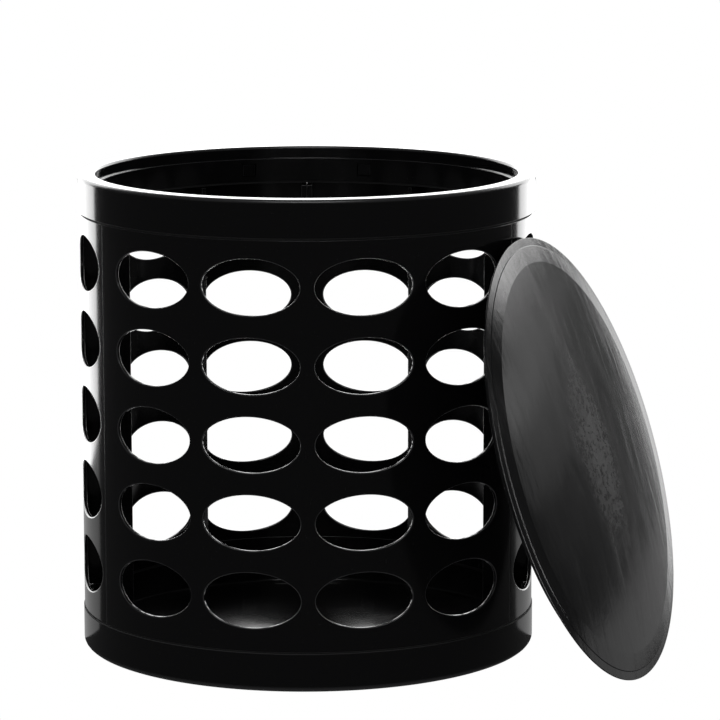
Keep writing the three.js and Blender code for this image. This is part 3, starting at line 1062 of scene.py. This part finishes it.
LID_TURN = math.radians(33)  # where the lid's bright surroundings meet its dim ones
LID_EDGE = math.radians(60.5)  # where the dim ones end
LID_BACKDROP_BOTTOM = -1.0
LID_BACKDROP = 1.4
EDGE_LIGHT_SPAN = (math.radians(85), math.radians(119))
EDGE_LIGHT_HEIGHTS = (-0.5, 1.5)
EDGE_LIGHT = 8
SKY_DISTANCE = 3.0
SKY_COLUMNS = 5
LID_SKY = (  # bottom, top, brightness where the lid's right mirrors it and where its left does
    (-0.45, -0.15, 0.30, 0.3),
    (-0.15, 0.10, 0.15, 0.0),
    (0.10, 0.30, 0.12, 0.05),
    (0.30, 0.50, 0.08, 0.3),
    (0.50, 0.70, 0.04, 0.8),
)
HIGH_SKY = 1.0
BRIGHT_SKY_BOTTOMS = (0.45, 0.72, 0.86, 0.89, 0.93)  # heights at the edges of the columns
BRIGHT_SKY_TOP = 2.2
BRIGHT_SKY = 3.5


def make_camera():
    data = bpy.data.cameras.new("camera")
    data.lens = CAMERA_LENS
    data.sensor_width = CAMERA_SENSOR
    data.clip_start = CAMERA_NEAR
    data.clip_end = CAMERA_FAR
    camera = add_object("camera", data)
    azimuth = math.pi - CAMERA_YAW
    ahead = Vector(polar(azimuth, math.cos(CAMERA_PITCH), math.sin(CAMERA_PITCH)))
    level = -tangent(azimuth)
    above = level.cross(ahead)
    right = level * math.cos(CAMERA_ROLL) + above * math.sin(CAMERA_ROLL)
    up = above * math.cos(CAMERA_ROLL) - level * math.sin(CAMERA_ROLL)
    matrix = Matrix((right, up, -ahead)).transposed().to_4x4()
    matrix.translation = Vector(CAMERA_PLACE)
    camera.matrix_world = matrix
    bpy.context.scene.camera = camera


def emission_material(name, strength, clear=False):
    """A white glow. A clear one also lets through the light from behind it."""
    material = bpy.data.materials.new(name)
    nodes = Nodes(material, empty=True)
    glow = {"Color": (1, 1, 1, 1), "Strength": strength}
    surface = nodes.add("ShaderNodeEmission", glow, "Emission")
    if clear:
        glass = nodes.add("ShaderNodeBsdfTransparent", {}, "BSDF")
        surface = nodes.add("ShaderNodeAddShader", {0: surface, 1: glass}, "Shader")
    output = nodes.tree.nodes.new("ShaderNodeOutputMaterial")
    nodes.fill(output, {"Surface": surface})
    return material


def sheet_object(name, corners, material):
    """A flat four-sided sheet. It isn't part of the object."""
    shape = bmesh.new()
    shape.faces.new([shape.verts.new(corner) for corner in corners])
    mesh = bpy.data.meshes.new(name)
    shape.to_mesh(mesh)
    shape.free()
    mesh.materials.append(material)
    sheet = add_object(name, mesh)
    return sheet


def card(name, corners, strength, lit):
    """A glowing card, seen only in reflections, and only in the pieces of one collection.

    It is clear, so it doesn't hide other cards from the pieces that can't see it.
    """
    sheet = sheet_object(name, corners, emission_material(name, strength, clear=True))
    sheet.visible_camera = False
    sheet.visible_diffuse = False
    sheet.visible_shadow = False
    sheet.visible_transmission = False
    sheet.visible_volume_scatter = False
    sheet.light_linking.receiver_collection = lit


def sloping_card(name, azimuths, distance, bottoms, tops, strength, lit):
    """A card that stands between two azimuths, with its own heights at each of them."""
    corners = []
    for azimuth, height in zip((*azimuths, *reversed(azimuths)), (*bottoms, *reversed(tops))):
        corners.append((math.sin(azimuth) * distance, math.cos(azimuth) * distance, height))
    card(name, corners, strength, lit)


def upright_card(name, azimuths, distance, bottom, top, strength, lit):
    sloping_card(name, azimuths, distance, (bottom, bottom), (top, top), strength, lit)


def floor_wedge(name, near, far, strength, lit):
    """A card on the floor behind the drum, wider the farther back it goes."""
    corners = []
    for sense, y in ((-1, near), (1, near), (1, far), (-1, far)):
        corners.append((sense * (WEDGE_REACH + y * math.tan(DRUM_WING)), y, WEDGE_HEIGHT))
    card(name, corners, strength, lit)


def front_softbox(lit):
    """A card high up in front of the drum, which faces it."""
    width, depth = SOFTBOX_SIZE
    aim = Vector(polar(0, math.cos(SOFTBOX_ELEVATION), math.sin(SOFTBOX_ELEVATION)))
    across = tangent(0) * width / 2
    upward = aim.cross(tangent(0)) * depth / 2
    centre = aim * SOFTBOX_DISTANCE + Vector((0, 0, TOTAL_HEIGHT))
    corners = [centre + across * x + upward * y for x, y in SQUARE]
    card("front_softbox", corners, SOFTBOX, lit)


def make_lid_sky(lid):
    """A patchwork of cards for the lid: dim at its foot, brighter towards its top."""
    width = (LID_EDGE - LID_TURN) / SKY_COLUMNS
    spans = []
    for column in range(SKY_COLUMNS):
        spans.append((LID_TURN + column * width, LID_TURN + (column + 1) * width))
    for row, (bottom, top, right, left) in enumerate(LID_SKY):
        for column, span in enumerate(spans):
            strength = right + (left - right) * (column + 0.5) / SKY_COLUMNS
            upright_card(f"lid_sky_{row}_{column}", span, SKY_DISTANCE, bottom, top, strength, lid)
    lows = (LID_SKY[-1][1],) * 2
    highs = (BRIGHT_SKY_TOP,) * 2
    for column, span in enumerate(spans[:-1]):
        middles = BRIGHT_SKY_BOTTOMS[column:column + 2]
        if column > 0:
            sloping_card(f"lid_high_sky_{column}", span, SKY_DISTANCE, lows, middles, HIGH_SKY, lid)
        sloping_card(f"lid_bright_sky_{column}", span, SKY_DISTANCE, middles, highs, BRIGHT_SKY, lid)


def make_world():
    """White where the camera sees it, and dim in reflections and as soft light."""
    world = bpy.data.worlds.new("studio")
    bpy.context.scene.world = world
    nodes = Nodes(world, empty=True)
    lights = []
    for strength in (GLOSSY_AMBIENT, DIFFUSE_AMBIENT, 1.0):
        lights.append(nodes.add("ShaderNodeBackground", {"Strength": strength}, "Background"))
    shader = lights[0]
    for ray, light in zip(("Is Diffuse Ray", "Is Camera Ray"), lights[1:]):
        chosen = nodes.add("ShaderNodeLightPath", {}, ray)
        shader = nodes.add("ShaderNodeMixShader", {0: chosen, 1: shader, 2: light}, "Shader")
    output = nodes.tree.nodes.new("ShaderNodeOutputWorld")
    nodes.fill(output, {"Surface": shader})


def make_floor():
    """The white floor, which only the camera sees. It fills the whole picture behind the object."""
    corners = [(x * FLOOR_REACH, y * FLOOR_REACH, FLOOR_HEIGHT) for x, y in SQUARE]
    floor = sheet_object("floor", corners, emission_material("white_floor", 1.0))
    floor.visible_glossy = False
    floor.visible_diffuse = False
    floor.visible_shadow = False


def make_cards(drum, lid):
    """The white surroundings that the drum's pieces mirror, and those that the lid mirrors."""
    far = BACKDROP_DISTANCE
    floor_wedge("bright_sweep", WEDGE_NEAR, WEDGE_FAR, WHITE, drum)
    floor_wedge("near_sweep", 0.0, WEDGE_NEAR, NEAR_FLOOR, drum)
    upright_card("drum_backdrop", (-DRUM_WING, DRUM_WING), far, 0, BACKDROP_HEIGHT, WHITE, drum)
    side = (DRUM_WING, LID_EDGE)
    upright_card("drum_side_sky", side, far, SIDE_SKY_BOTTOM, BACKDROP_HEIGHT, WHITE, drum)
    front_softbox(drum)
    wide = (-LID_TURN, LID_TURN)
    upright_card("lid_backdrop", wide, far, LID_BACKDROP_BOTTOM, BACKDROP_HEIGHT, LID_BACKDROP, lid)
    bottom, top = EDGE_LIGHT_HEIGHTS
    upright_card("lid_edge_light", EDGE_LIGHT_SPAN, SKY_DISTANCE, bottom, top, EDGE_LIGHT, lid)
    make_lid_sky(lid)


# ---- Assembly ------------------------------------------------

def place_piece(skin, name, node, body, material, slot, lit, matrix=Matrix.Identity(4)):
    """Makes a piece for a CAD node, on a body, in the collection whose cards it mirrors."""
    piece = skin.make(name, material, matrix)
    lit.objects.link(piece)
    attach(piece, body)
    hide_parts(node)


make_camera()
drum_pieces = bpy.data.collections.new("drum_pieces")
lid_pieces = bpy.data.collections.new("lid_pieces")
make_world()
make_floor()
make_cards(drum_pieces, lid_pieces)
drum_black = drum_plastic()
lid_black = lid_plastic()
drum_look = (drum_black, "drum_black", drum_pieces)
lid_look = (lid_black, "lid_black", lid_pieces)
place_piece(make_base_tray(), "tray", "base_tray", "drum", *drum_look)
for panel in PANELS:
    node = "wall_panel_" + panel.side
    place_piece(make_wall_panel(panel), panel.side + "_wall", node, "drum", *drum_look)
place_piece(make_collar(), "rim_collar", "collar", "drum", *drum_look)
place_piece(make_lid(), "domed_lid", "lid", "lid", *lid_look, lid_matrix())

bpy.context.scene.view_settings.view_transform = "Standard"
